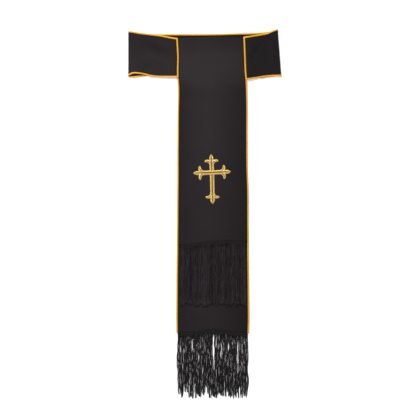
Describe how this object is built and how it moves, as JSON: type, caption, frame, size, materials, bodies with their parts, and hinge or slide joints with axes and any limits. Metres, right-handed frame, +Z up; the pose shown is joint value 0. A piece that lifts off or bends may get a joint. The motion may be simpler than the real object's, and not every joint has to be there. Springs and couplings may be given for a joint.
{
  "type": "cassock cincture",
  "caption": "Cassock cincture laid flat: a folded waistband and hanging falls with piped edges, fringed hems and an embroidered cross.",
  "frame": {"origin": "on the table, under the middle of the whole outline", "axes": "+Y from the fringed hems towards the waistband's top edge, +X to the right seen from above, +Z up from the table"},
  "size_m": [0.3901, 0.94, 0.0095],
  "materials": {
    "black_cloth": "matt black wool-like cloth, lined and stiffened",
    "gold_piping": "soft satin, golden yellow",
    "black_fringe": "black twisted rayon yarn with a slight sheen",
    "gold_thread": "pale gold satin stitch with a bright sheen"
  },
  "bodies": {
    "root": {"waistband": "black_cloth", "waistband_piping_left": "gold_piping", "waistband_piping_right": "gold_piping", "long_fall": "black_cloth", "short_fall": "black_cloth", "fall_piping_left": "gold_piping", "fall_piping_right": "gold_piping", "long_fringe": "black_fringe", "short_fringe": "black_fringe", "embroidered_cross": "gold_thread"}
  },
  "joints": []
}
